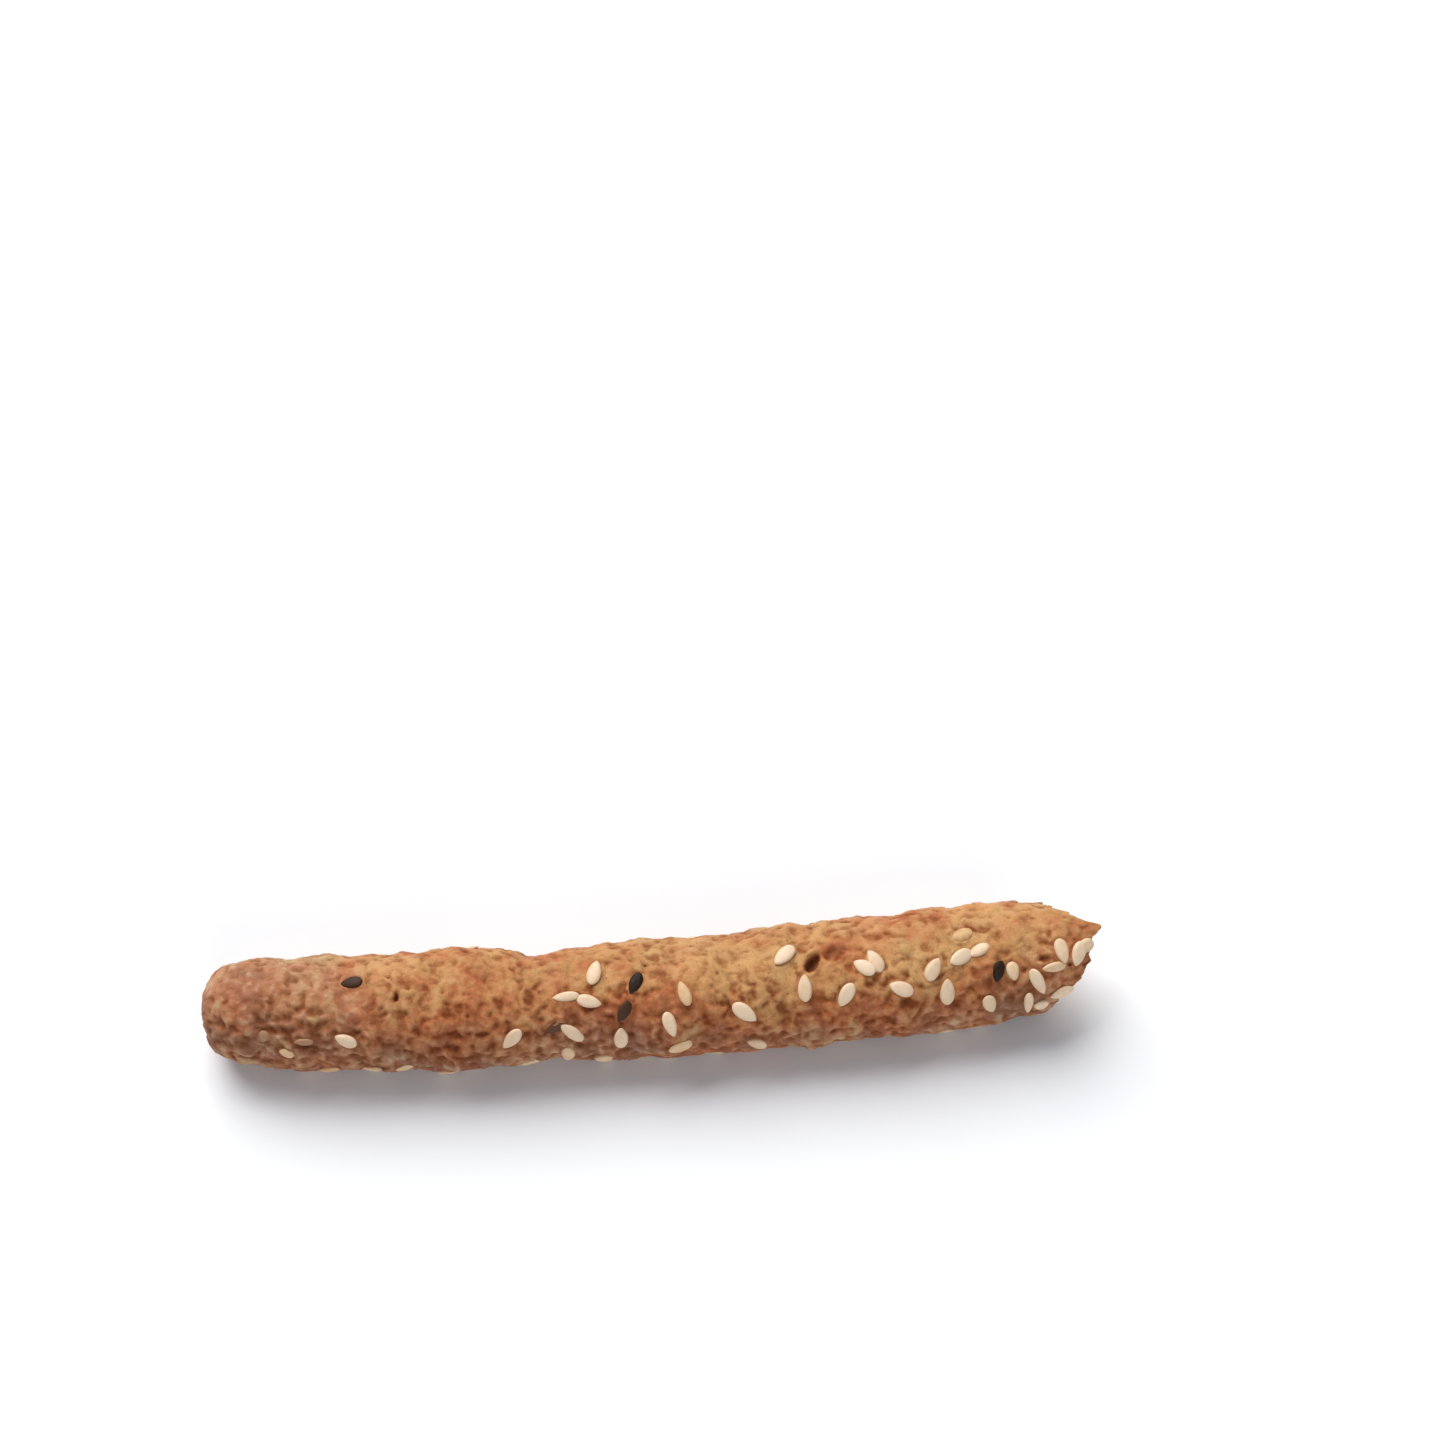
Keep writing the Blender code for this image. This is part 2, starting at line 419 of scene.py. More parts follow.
def patches(along, turn):
    """How much paler and duskier the listed patches make each point: each a bell curve."""
    paler = np.zeros(np.shape(along))
    duskier = paler.copy()
    for at, at_turn, reach, reach_round, pale, dusk in PATCHES:
        off_round = turned_from(turn, np.radians(at_turn)) * MEAN_RADIUS / reach_round
        bell = np.exp(-(((along - at) / reach) ** 2) - off_round**2)
        paler += pale * bell
        duskier += dusk * bell
    return paler, duskier


# Holes: along, degrees round, half-length, half-width, degrees that the length is turned from along
# towards the back, and depth
HOLES = (
    (75.6, 1, 1.60, 0.86, 58, 1.50),
    (78.0, -5, 1.70, 1.05, 10, 0.45),
    (24.4, 9, 0.65, 0.34, 90, 0.75),
    (23.5, -12, 0.30, 0.28, 0, 0.35),
    (55.0, -14, 0.34, 0.26, 90, 0.40),
    (104.3, 25, 1.20, 0.50, 0, 0.45),
    (107.4, 34, 0.55, 0.40, 0, 0.60),
    (101.7, 34, 0.55, 0.32, 90, 0.45),
    (9.6, 41, 2.80, 0.75, 0, 0.35),
    (13.0, 59, 1.60, 0.35, 0, 0.30),
    (8.0, 103, 2.40, 0.35, 0, 0.50),
    (14.6, 104, 1.80, 0.32, 0, 0.50),
    (20.8, 102, 1.30, 0.30, 0, 0.40),
    (27.0, 101, 3.00, 0.35, 0, 0.50),
    (34.5, 102, 1.90, 0.30, 0, 0.40),
)
HOLE_LIP = 0.09  # height of the lip round a hole

PIT_SIZE = 3.1  # one spot for a pit to each cube of this size
PIT_SHARE = 0.26  # share of the spots that have one
PIT_DEPTH = 0.25
SOCKET_LIP = 0.11  # height of the lip of crust round a seed
SMOOTH_ROUND = np.radians(-26)  # where the crust is smoothest
PALE_ROUND = np.radians(-18)  # where it is palest: least brown, and facing the key light above the back, so partly painted light
DUSK_HEIGHT = 10.8  # below which the sides grow greyer: partly flour dust, partly painted bounce light from the floor


def soft_relief(points):
    """Lumps a few millimetres across: two sizes of noise."""
    return 0.13 * noise(points, 4.2, 1) + 0.10 * noise(points, 2.1, 2)


def off_centre(along, turn, at, at_turn, spin, half_length, half_breadth):
    """How far each point is from an oval's middle, 1 on its edge: its offsets along and to the back,
    turned by spin, over the oval's halves."""
    off_along = along - at
    off_back = -turned_from(turn, np.radians(at_turn)) * MEAN_RADIUS
    spin = np.radians(spin)
    lengthwise = off_along * np.cos(spin) + off_back * np.sin(spin)
    crosswise = off_back * np.cos(spin) - off_along * np.sin(spin)
    return np.hypot(lengthwise / half_length, crosswise / half_breadth)


def hole_shape(along, turn):
    """Depth of the holes: each full from its middle to 0.35 of the way out, then a smooth rise to
    nothing at 1.1, with a bell curve at 1.25 for its lip."""
    depth = np.zeros(np.shape(along))
    for at, at_turn, half_length, half_breadth, spin, deep in HOLES:
        off = off_centre(along, turn, at, at_turn, spin, half_length, half_breadth)
        depth += deep * (1 - smooth_step((off - 0.35) / 0.75))
        depth -= HOLE_LIP * np.exp(-(((off - 1.25) / 0.22) ** 2))
    return depth


def seed_sockets(along, turn):
    """How much each point is under a seed, and the lip round it.

    Under is 1 to 0.75 of the way out, then falls smoothly to 0 at 1.2. A deeply sunk seed clears less
    of the crust away. The lip is a bell curve at 1.22, higher round a deeper seed."""
    under = np.zeros(np.shape(along))
    lip = under.copy()
    for rows, slimmer in ((WHITE_ROWS, 1.0), (BLACK_ROWS, BLACK_SHARE)):
        for at, at_turn, spin, long, wide, _, sink in rows:
            half_length = SEED_LENGTH * long / 2
            half_breadth = SEED_WIDTH * wide * slimmer / 2
            off = off_centre(along, turn, at, at_turn, spin, half_length, half_breadth)
            cleared = min(1.0, 1.3 - 2.4 * max(sink, 0))
            under = np.maximum(under, cleared * (1 - smooth_step((off - 0.75) / 0.45)))
            lip = np.maximum(lip, np.exp(-(((off - 1.22) / 0.2) ** 2)) * (0.4 + 2 * max(sink, 0)))
    return under, lip


def crust_relief(points, along, turn, paler):
    """How far the crust stands out, and how hollow it is, which its colour follows: darker as painted
    shade where hollow, paler as painted highlight on the ridges.

    A web of ridges, where one noise crosses zero, and two finer noises sum to a rough field. Its high
    parts are flattened and its low parts are hollows, shallower on top and in the paler patches. Pits
    are wells round a few spots. The holes go into that, and under a seed it is levelled."""
    bent = points + 0.45 * bends(points, 1.8, 20)
    top = smooth_step(1.6 * np.cos(turn - SMOOTH_ROUND) - 0.6 + 0.6 * noise(points, 6.0, 10))
    strength = 0.77 - 0.22 * top - 0.45 * np.clip(paler, -0.1, 0.3)
    web = 0.24 - np.abs(noise(bent, 1.9, 4))
    rough = 0.95 * web + 0.75 * noise(bent, 1.15, 5) + 0.40 * noise(bent, 0.62, 7)
    low = smooth_step(0.22 - 0.14 * top - rough)
    ridge = smooth_step((rough + 0.10) / 0.9)
    pit_near, pit_own = cells(points, PIT_SIZE, 6)
    pit = (pit_own < PIT_SHARE) * (1 - smooth_step(pit_near / (0.07 + 0.30 * pit_own)))
    soft = soft_relief(points)
    coarse = (0.18 * ridge - 0.42 * low + 0.06) * strength
    holes = hole_shape(along, turn)
    under, lip = seed_sockets(along, turn)
    open_crust = soft + coarse - PIT_DEPTH * pit - holes + SOCKET_LIP * lip
    height = (1 - under) * open_crust + under * (soft - 0.05)
    # hollowness for the colour: high in the low parts for painted shade, low on the ridges for painted
    # highlight
    hollow = 0.30 + (0.14 - 0.50 * ridge + 0.70 * low) * strength
    # pits and holes count as hollow too, for painted shade in them
    hollow = hollow + 0.6 * pit + 0.9 * np.clip(holes, 0, 1)
    # the lip round each seed is darkened too: painted shade where the seed meets the crust
    hollow = hollow * (1 - 0.7 * under) + 0.25 * lip * (1 - under)
    return height, np.clip(hollow, 0, 1)


def browning_and_side_shade(points, along, turn, paler):
    """How brown the crust is, 0 golden and 1 dark: more down the sides, partly the baked colour and
    partly painted shade away from the key light, and at the round end, with blots of three sizes of
    noise, less the paler patches."""
    # darker down the sides: partly the baked colour, partly painted shade
    side = smooth_step((1 - np.cos(turn - PALE_ROUND)) / 1.05)
    end = smooth_step((30 - along) / 30)
    blots = 0.34 * noise(points, 8.0, 14) + 0.34 * noise(points, 3.6, 15)
    blots = blots + 0.22 * noise(points, 1.7, 16)
    return np.clip(0.25 + 0.50 * side + 0.08 * end + (0.85 + 0.45 * side) * blots - paler, 0, 1)


def duskiness(points, along, duskier):
    """How grey and dusty the crust is: at the round end, in the duskier patches, and low down near the
    tray, where it is also blotchier, and where the grey is partly painted bounce light from the floor."""
    near_tray = smooth_step((DUSK_HEIGHT - points[..., 2]) / 5)
    end = smooth_step((28 - along) / 26)
    blots = noise(points, 7.0, 24) + 0.8 * noise(points, 3.2, 25)
    dusk = 0.70 * near_tray + 0.22 * end + 0.8 * duskier
    return np.clip(dusk + blots * (0.2 + 0.9 * near_tray), 0, 1)


# ---------------------------------------------------------------- meshes


def new_object(name, data):
    """An object in the scene for a mesh, a light or a camera."""
    thing = bpy.data.objects.new(name, data)
    bpy.context.scene.collection.objects.link(thing)
    return thing


def new_piece(name, points, faces, material):
    """A smooth mesh object at the origin from points in mm and faces."""
    mesh = bpy.data.meshes.new(name)
    mesh.from_pydata((points * MM).tolist(), [], faces)
    mesh.shade_smooth()
    mesh.materials.append(material)
    return new_object(name, mesh)


def write_attribute(piece, name, values):
    """A number for each of the piece's points, for its material to read."""
    attribute = piece.data.attributes.new(name, "FLOAT", "POINT")
    attribute.data.foreach_set("value", np.asarray(values, np.float32).ravel())


def tube_faces(rings, sides):
    """Quads between each ring of points and the next, and a fan to a pole at each end.

    Points are numbered ring by ring, then the first pole, then the last."""
    ring, side = np.meshgrid(np.arange(rings - 1), np.arange(sides), indexing="ij")
    here = ring * sides + side
    beside = ring * sides + (side + 1) % sides
    quads = np.stack((here, beside, beside + sides, here + sides), -1).reshape(-1, 4)
    around = np.arange(sides)
    after = (around + 1) % sides
    last = (rings - 1) * sides
    first_fan = np.stack((np.full(sides, rings * sides), after, around), -1)
    last_fan = np.stack((np.full(sides, rings * sides + 1), last + around, last + after), -1)
    return quads.tolist() + first_fan.tolist() + last_fan.tolist()


CRUST_SIDES = 206
CRUST_DOME_RINGS = 26
CRUST_BODY_RINGS = 428
CRUST_LIP_RINGS = 4  # over the torn rim
CRUST_WALL_RINGS = 4  # back inside, behind the crumb
TOP_DENSITY = 0.28  # how much closer together the lines of points run on top than underneath
RIM_THICKNESS = 0.55
RIM_ROUNDING = 0.35  # how far back the rim's inner edge lies from its outer one
RIM_CRUMBLING = 0.22
RIM_DEPTH = 5.5  # how far back the hidden walls inside the rim go
RIM_TAPER = 1.2  # and how far they lean inwards
TATTER_ROOM = 0.1  # how far past the stick's length a tatter may reach


def crust_turns():
    """Angles round the stick, closer together on top: t less a share of sin t."""
    even = np.linspace(-PI, PI, CRUST_SIDES, endpoint=False)
    return even - TOP_DENSITY * np.sin(even)


def ragged_rim(turn):
    """The rim's reach with the finest tatters, held to about the stick's length."""
    return np.minimum(rim_reach(turn) + waves(turn, TATTERS), LENGTH + TATTER_ROOM)


def straight_inwards(edge, along):
    """The way from points of the rim straight across the stick to its middle."""
    return unit((centre(along) - edge) * (0, 1, 1))


def rim_rings(edge, along):
    """Rings of a quarter ellipse over the rim, crumbled by noise, then walls that lean inwards."""
    ring = np.arange(1, CRUST_LIP_RINGS + CRUST_WALL_RINGS + 1)[:, None]
    lip = PI / 2 * np.minimum(ring / CRUST_LIP_RINGS, 1)
    deep = np.maximum(0, ring - CRUST_LIP_RINGS) / CRUST_WALL_RINGS
    inwards = straight_inwards(edge, along)
    thick = RIM_THICKNESS * (1 + 0.5 * noise(edge, 1.6, 41))
    crumbled = RIM_CRUMBLING * noise(edge + inwards * ring[..., None], 0.9, 42) * np.sin(2 * lip)
    back = RIM_ROUNDING * (1 - np.cos(lip)) + crumbled + RIM_DEPTH * deep
    reach = thick * np.sin(lip) + RIM_TAPER * deep
    return edge + inwards * reach[..., None] - back[..., None] * np.array((1, 0, 0))


def with_rim(values, *inner_values):
    """The outer points' values, the rim's ring by ring with the last one repeated, and the poles'."""
    steps = np.minimum(np.arange(CRUST_LIP_RINGS + CRUST_WALL_RINGS), len(inner_values) - 1)
    rings_inwards = np.repeat(np.array(inner_values)[steps], CRUST_SIDES)
    return np.concatenate((values.ravel(), rings_inwards, (values[0].mean(), inner_values[-1])))


def crust_piece(material):
    """The baked skin: rings over the round end's dome, the body and the ragged rim, then back inside.

    Each point of the form is moved outwards by the relief, which dies away towards the tray and is
    weaker at the rim."""
    turn = crust_turns()[None, :]
    dome_angle = PI / 2 * np.arange(1, CRUST_DOME_RINGS)[:, None] / CRUST_DOME_RINGS
    dome = DOME_LENGTH * (1 - np.cos(dome_angle)) + 0 * turn
    rim = ragged_rim(turn)
    share = np.linspace(0, 1, CRUST_BODY_RINGS)[:, None]
    body = DOME_LENGTH + (rim - DOME_LENGTH) * share
    along = np.concatenate((dome, body))
    turn = turn + 0 * along
    point, _, _, out = crust_frame(along, turn)
    paler, duskier = patches(along, turn)
    height, hollow = crust_relief(point, along, turn, paler)
    off_tray = smooth_step(point[..., 2] / 1.6)
    off_rim = smooth_step((rim - along) / 0.5)
    height = height * off_tray * (0.35 + 0.65 * off_rim)
    outer = point + out * height[..., None]
    outer[..., 2] = np.maximum(outer[..., 2], 0)
    inner = rim_rings(outer[-1], rim[0])
    poles = np.array((centre(np.array(0.0)), inner[-1].mean(axis=0)))
    points = np.concatenate((outer.reshape(-1, 3), inner.reshape(-1, 3), poles)) + SHIFT
    piece = new_piece("crust", points, tube_faces(len(outer) + len(inner), CRUST_SIDES), material)
    torn = 0.3 - 0.3 * smooth_step((rim - along) / 0.35)
    write_attribute(piece, "hollow", with_rim(hollow, 0.3))
    write_attribute(piece, "browned_and_shaded", with_rim(browning_and_side_shade(point, along, turn, paler), 0.5))
    write_attribute(piece, "torn", with_rim(torn, 0.15, 0.4, 0.8, 1.0))
    write_attribute(piece, "dusky", with_rim(duskiness(point, along, duskier), 0.0))
    return piece


CRUMB_SIDES = 240
CRUMB_FACE_RINGS = 70
CRUMB_WALL_RINGS = 4
CRUMB_SUNK = 0.55  # how far the crumb lies inside the rim
CRUMB_DEPTH = 4.5  # how far back its hidden wall goes
BIG_PORE, SMALL_PORE = 0.95, 0.38  # their depths
# Height, size and salt of the noises for the rounded lumps and the sharper crags
CRUMB_LUMPS = ((0.40, 3.3, 31), (0.22, 0.8, 33), (0.14, 0.4, 34))
CRUMB_CRAGS = ((0.75, 1.9, 32), (0.40, 0.8, 37))


def crumb_relief(flat):
    """How far the crumb's lumps stand up, and how deep its pores go.

    Lumps are noise, crags are high where a noise crosses zero, and pores are wells round random spots
    of a bent pattern, wider where the spot's own number is higher."""
    lumps = sum(high * noise(flat, size, salt) for high, size, salt in CRUMB_LUMPS)
    lumps += sum(high * (0.3 - np.abs(noise(flat, size, salt))) for high, size, salt in CRUMB_CRAGS)
    warp = bends(flat, 0.9, 50)
    big_near, big_own = cells(flat + 0.40 * warp, 1.7, 35)
    big = (big_own < 0.6) * (1 - smooth_step((big_near - 0.08) / (0.16 + 0.40 * big_own)))
    small_near, small_own = cells(flat + 0.25 * warp, 0.75, 36)
    small = (small_own < 0.75) * (1 - smooth_step(small_near / (0.30 + 0.30 * small_own)))
    return lumps, BIG_PORE * big + SMALL_PORE * small


def crumb_piece(material):
    """The open crumb: rings from the face's middle to inside the crust, then a wall back to a pole.

    The face is a slanted plane that bends to the ragged rim by the fourth power of the way out. Its
    rings start at the snapped end, so each face is turned round to point outwards."""
    turn = np.linspace(-PI, PI, CRUMB_SIDES, endpoint=False)[None, :]
    rim = ragged_rim(turn)
    edge = bare_crust(rim, turn)
    inwards = straight_inwards(edge, rim)
    wall = edge + inwards * RIM_THICKNESS * 0.5
    heart = centre(np.array(BREAK_AT))
    share = np.linspace(1 / CRUMB_FACE_RINGS, 1, CRUMB_FACE_RINGS)[:, None]
    flat = heart + (wall - heart) * share[..., None]
    slant = 0.5 * BREAK_LEAN * np.cos(turn - BREAK_ROUND)
    bend = wall[..., 0] - heart[0] - slant
    flat[..., 0] = heart[0] - CRUMB_SUNK + slant * share + bend * share**4
    lumps, pore = crumb_relief(flat)
    off_wall = smooth_step((1 - share) / 0.08)
    face = flat.copy()
    face[..., 0] += lumps * (0.35 + 0.65 * off_wall) - pore * off_wall
    deep = np.arange(1, CRUMB_WALL_RINGS + 1)[:, None, None] / CRUMB_WALL_RINGS
    walls = face[-1] + inwards * RIM_TAPER * np.sqrt(deep) - np.array((CRUMB_DEPTH, 0, 0)) * deep
    poles = np.array((face[0].mean(axis=0), walls[-1].mean(axis=0)))
    points = np.concatenate((face.reshape(-1, 3), walls.reshape(-1, 3), poles)) + SHIFT
    faces = tube_faces(CRUMB_FACE_RINGS + CRUMB_WALL_RINGS, CRUMB_SIDES)
    piece = new_piece("crumb", points, [corners[::-1] for corners in faces], material)
    hidden = np.zeros(CRUMB_WALL_RINGS * CRUMB_SIDES)
    way_out = np.broadcast_to(share, pore.shape).ravel()
    write_attribute(piece, "pore", np.concatenate((np.clip(pore, 0, 1).ravel(), hidden, (0, 0))))
    write_attribute(piece, "edge", np.concatenate((way_out, hidden + 1, (0, 1))))
    return piece


SEED_RINGS = 17
SEED_SIDES = 16
SEED_BOXINESS = 0.85  # 1 is an oval section, and less is squarer
SEED_RIDGE = 0.10  # height of the ridge inside its margin, as a share of its thickness
SEED_PERCH = 0.16  # how high an unsunk seed's middle lies over the crust


def teardrop(t, point, end):
    """t to the power of point times (1 - t) to the power of end, with its largest made 1."""
    outline = t**point * (1 - t) ** end
    return outline / outline.max()


def seed_form():
    """One seed as rings from its point to its round end: a teardrop from above and from the side,
    squarer than an oval, with a ridge inside its margin by a bell curve.

    Points are along, across and up, each from -0.5 to 0.5."""
    t = (1 - np.cos(PI * np.arange(1, SEED_RINGS + 1) / (SEED_RINGS + 1)))[:, None] / 2
    outline = teardrop(t, 0.72, 0.52)
    plump = teardrop(t, 0.52, 0.46)
    around = 2 * PI * np.arange(SEED_SIDES)[None, :] / SEED_SIDES
    across = outline * np.cos(around)
    section = np.abs(np.sin(around)) ** SEED_BOXINESS
    ridge = SEED_RIDGE * np.exp(-(((np.abs(np.cos(around)) - 0.72) / 0.14) ** 2))
    up = plump * np.sign(np.sin(around)) * (section + ridge)
    lengthwise = np.broadcast_to(t - 0.5, across.shape)
    rings = np.stack((lengthwise, across / 2, up / 2), -1)
    poles = np.array(((-0.5, 0, 0), (0.5, 0, 0)))
    return np.concatenate((rings.reshape(-1, 3), poles)), tube_faces(SEED_RINGS, SEED_SIDES)


def seeds_piece(name, rows, slimmer, material, seed):
    """All seeds of one kind as one mesh: the form sized, tilted a little and set on the crust.

    Each seed's points are its middle plus along, across and up times its own three ways."""
    form, faces = seed_form()
    chance = np.random.default_rng(seed)
    count = len(rows)
    at, turn, spin, long, wide, toast, sink = rows.T
    spin = np.radians(spin)[:, None]
    point, forward, back, out = crust_frame(at, np.radians(turn))
    plumpness, tilt, roll = chance.normal((1, 0, 0), (0.07, 0.07, 0.12), (count, 3)).T
    length = SEED_LENGTH * long
    width = SEED_WIDTH * slimmer * wide * long**0.3
    thickness = SEED_THICKNESS * slimmer * plumpness
    sized = form * np.stack((length, width, thickness), -1)[:, None]
    length_way = unit(forward * np.cos(spin) + back * np.sin(spin))
    length_way = unit(length_way + out * tilt[:, None])
    cross_way = unit(np.cross(out, length_way))
    cross_way = unit(cross_way + out * roll[:, None])
    ways = np.stack((length_way, cross_way, np.cross(length_way, cross_way)), 1)
    perch = soft_relief(point) + SEED_PERCH - sink * SEED_THICKNESS
    middle = point + out * perch[:, None]
    points = middle[:, None] + np.einsum("sij,sjk->sik", sized, ways)
    points[..., 2] = np.maximum(points[..., 2], 0.0)
    starts = np.arange(count) * len(form)
    all_faces = [tuple(corner + start for corner in face) for start in starts for face in faces]
    piece = new_piece(name, points.reshape(-1, 3) + SHIFT, all_faces, material)
    write_attribute(piece, "toast", np.repeat(toast, len(form)))
    write_attribute(piece, "own", np.repeat(chance.random(count), len(form)))
    write_attribute(piece, "tip", np.tile(form[:, 0] + 0.5, count))
    write_attribute(piece, "margin", np.tile(np.abs(form[:, 1]) * 2, count))
    return piece


# ---------------------------------------------------------------- materials


class Nodes:
    """A material's node tree, with short calls for the nodes that the finishes share."""

    def __init__(self, name):
        self.material = bpy.data.materials.new(name)
        self.material.use_nodes = True
        self.tree = self.material.node_tree
        self.shader = self.tree.nodes["Principled BSDF"]
        self.place = self.tree.nodes.new("ShaderNodeTexCoord").outputs["Object"]

    def put(self, socket, value):
        """Sets a socket to a number or colour, or links it to another node's output."""
        if isinstance(value, bpy.types.NodeSocket):
            self.tree.links.new(value, socket)
        elif hasattr(value, "__len__") and len(value) == 3:
            socket.default_value = (*value, 1)
        else:
            socket.default_value = value

    def attribute(self, name):
        """A number that the piece carries at each point."""
        node = self.tree.nodes.new("ShaderNodeAttribute")
        node.attribute_name = name
        return node.outputs["Fac"]

    def noise(self, per_mm, detail=3.0, roughness=0.6):
        """Noise from 0 to 1 with so many blobs to a millimetre, and detail finer octaves."""
        node = self.tree.nodes.new("ShaderNodeTexNoise")
        self.put(node.inputs["Vector"], self.place)
        node.inputs["Scale"].default_value = per_mm / MM
        node.inputs["Detail"].default_value = detail
        node.inputs["Roughness"].default_value = roughness
        return node.outputs["Fac"]

    def math(self, operation, first, second):
        """The operation on two numbers."""
        node = self.tree.nodes.new("ShaderNodeMath")
        node.operation = operation
        self.put(node.inputs[0], first)
        self.put(node.inputs[1], second)
        return node.outputs[0]

    def ranged(self, value, low, high, to_low, to_high):
        """value carried from low..high to to_low..to_high, and held there."""
        node = self.tree.nodes.new("ShaderNodeMapRange")
        names = ("Value", "From Min", "From Max", "To Min", "To Max")
        for name, number in zip(names, (value, low, high, to_low, to_high)):
            self.put(node.inputs[name], number)
        return node.outputs["Result"]

    def varied(self, value, other, low, high, less, more):
        """value plus another one that is carried from low..high to less..more."""
        return self.math("ADD", value, self.ranged(other, low, high, less, more))

    def ramp(self, value, stops):
        """Colours at places from 0 to 1."""
        node = self.tree.nodes.new("ShaderNodeValToRGB")
        self.put(node.inputs["Fac"], value)
        elements = node.color_ramp.elements
        while len(elements) < len(stops):
            elements.new(0.5)
        for element, (place, colour) in zip(elements, stops):
            element.position = place
            element.color = (*colour, 1)
        return node.outputs["Color"]

    def mix(self, share, first, second, blend="MIX"):
        """A share of the second colour, laid over the first or multiplied into it."""
        node = self.tree.nodes.new("ShaderNodeMix")
        node.data_type = "RGBA"
        node.blend_type = blend
        self.put(node.inputs[0], share)
        self.put(node.inputs[6], first)
        self.put(node.inputs[7], second)
        return node.outputs[2]

    def bump(self, height, distance_mm, strength, under=None):
        """Fine relief of the shading, over another one where there is one under it."""
        node = self.tree.nodes.new("ShaderNodeBump")
        node.inputs["Strength"].default_value = strength
        node.inputs["Distance"].default_value = distance_mm * MM
        self.put(node.inputs["Height"], height)
        if under:
            self.put(node.inputs["Normal"], under)
        return node.outputs["Normal"]

    def finish(self, colour, roughness, specular, normal=None):
        """The material, with these on its shader."""
        self.put(self.shader.inputs["Base Color"], colour)
        self.put(self.shader.inputs["Roughness"], roughness)
        self.put(self.shader.inputs["Specular IOR Level"], specular)
        if normal:
            self.put(self.shader.inputs["Normal"], normal)
        return self.material


# Crust, from the least brown to the most, whose darker sides are partly painted shade, then its
# hollows, redder and, as painted shade, darker, its deepest pits as painted shade, and its flattened
# ridges, paler as painted highlight
STRAW = (0.580, 0.328, 0.123)
GOLDEN = (0.503, 0.255, 0.090)
TAN = (0.452, 0.158, 0.053)
BROWN = (0.322, 0.113, 0.043)
RUSSET_AND_HOLLOW_SHADE = (0.220, 0.051, 0.010)
PIT_SHADE_AND_SPECK = (0.070, 0.018, 0.006)
PALE_RIDGE_HIGHLIGHT = (0.605, 0.315, 0.130)
# Tints that the crust's colour is multiplied by: redder stretches, dark grains, and grey dust, which
# low down is partly painted bounce light from the floor
WARM_TINT = (1.05, 0.88, 0.86)
GRAIN_TINT = (0.62, 0.52, 0.46)
DUSK_TINT = (0.94, 1.28, 1.85)
# Crumb, the deepest of them the painted shade of its pores
CRUMB_PALE = (0.750, 0.485, 0.285)
CRUMB_TOASTED = (0.660, 0.370, 0.185)
CRUMB_PORE_SHADE = (0.440, 0.195, 0.080)
# Hulls of the white seeds, then of the black ones
HULL_CREAM = (0.830, 0.625, 0.432)
HULL_TOAST = (0.650, 0.385, 0.165)
HULL_COATED = (0.400, 0.212, 0.115)
HULL_BLACK = (0.012, 0.005, 0.002)
HULL_WORN = (0.038, 0.019, 0.009)
HULL_DOUGHY = (0.150, 0.065, 0.030)


def crust_finish():
    """Brown by an attribute, whose darker sides are partly painted shade, and by noise, with a warm
    tint in places, russet in the hollows and darker there as painted shade, darkest in pits and holes
    as painted shade, paler on the ridges as painted highlight, greyer where dusky, with dark grains and
    bran specks, and crumb where torn."""
    nodes = Nodes("crust")
    # brownness, darker down the sides partly as painted shade
    browned_and_shaded = nodes.attribute("browned_and_shaded")
    browned_and_shaded = nodes.varied(browned_and_shaded, nodes.noise(0.55, 4.0), 0.3, 0.7, -0.17, 0.17)
    hollow = nodes.varied(nodes.attribute("hollow"), nodes.noise(1.5, 4.0), 0.3, 0.7, -0.16, 0.16)
    warm = nodes.ranged(nodes.noise(0.17, 2.0), 0.35, 0.65, 0.0, 1.0)
    grains = nodes.ranged(nodes.noise(5.5), 0.5, 0.68, 0.0, 0.36)
    specks = nodes.ranged(nodes.noise(3.4, 2.0), 0.66, 0.72, 0.0, 0.5)
    base = nodes.ramp(browned_and_shaded, ((0.0, STRAW), (0.25, GOLDEN), (0.62, TAN), (1.0, BROWN)))
    base = nodes.mix(warm, base, WARM_TINT, "MULTIPLY")
    # russet in the hollows: partly the crust's own colour, partly painted shade
    base = nodes.mix(nodes.ranged(hollow, 0.34, 0.84, 0.0, 0.9), base, RUSSET_AND_HOLLOW_SHADE)
    # darkest in the deepest pits and holes: painted shade
    base = nodes.mix(nodes.ranged(hollow, 0.86, 1.2, 0.0, 0.95), base, PIT_SHADE_AND_SPECK)
    # paler on the flattened ridges: painted highlight
    base = nodes.mix(nodes.ranged(hollow, 0.30, 0.0, 0.0, 0.6), base, PALE_RIDGE_HIGHLIGHT)
    # greyer where dusky; low down partly painted bounce light from the floor
    base = nodes.mix(nodes.attribute("dusky"), base, DUSK_TINT, "MULTIPLY")
    base = nodes.mix(grains, base, GRAIN_TINT, "MULTIPLY")
    # bran specks, in the same dark colour as the painted shade of the pits
    base = nodes.mix(specks, base, PIT_SHADE_AND_SPECK)
    base = nodes.mix(nodes.math("MULTIPLY", nodes.attribute("torn"), 0.75), base, CRUMB_PALE)
    tooth = nodes.bump(nodes.noise(1.9, 5.0, 0.62), 0.14, 0.8)
    tooth = nodes.bump(nodes.noise(6.0, 4.0), 0.06, 0.8, tooth)
    return nodes.finish(base, nodes.ranged(hollow, 0.2, 0.9, 0.6, 0.88), 0.25, tooth)


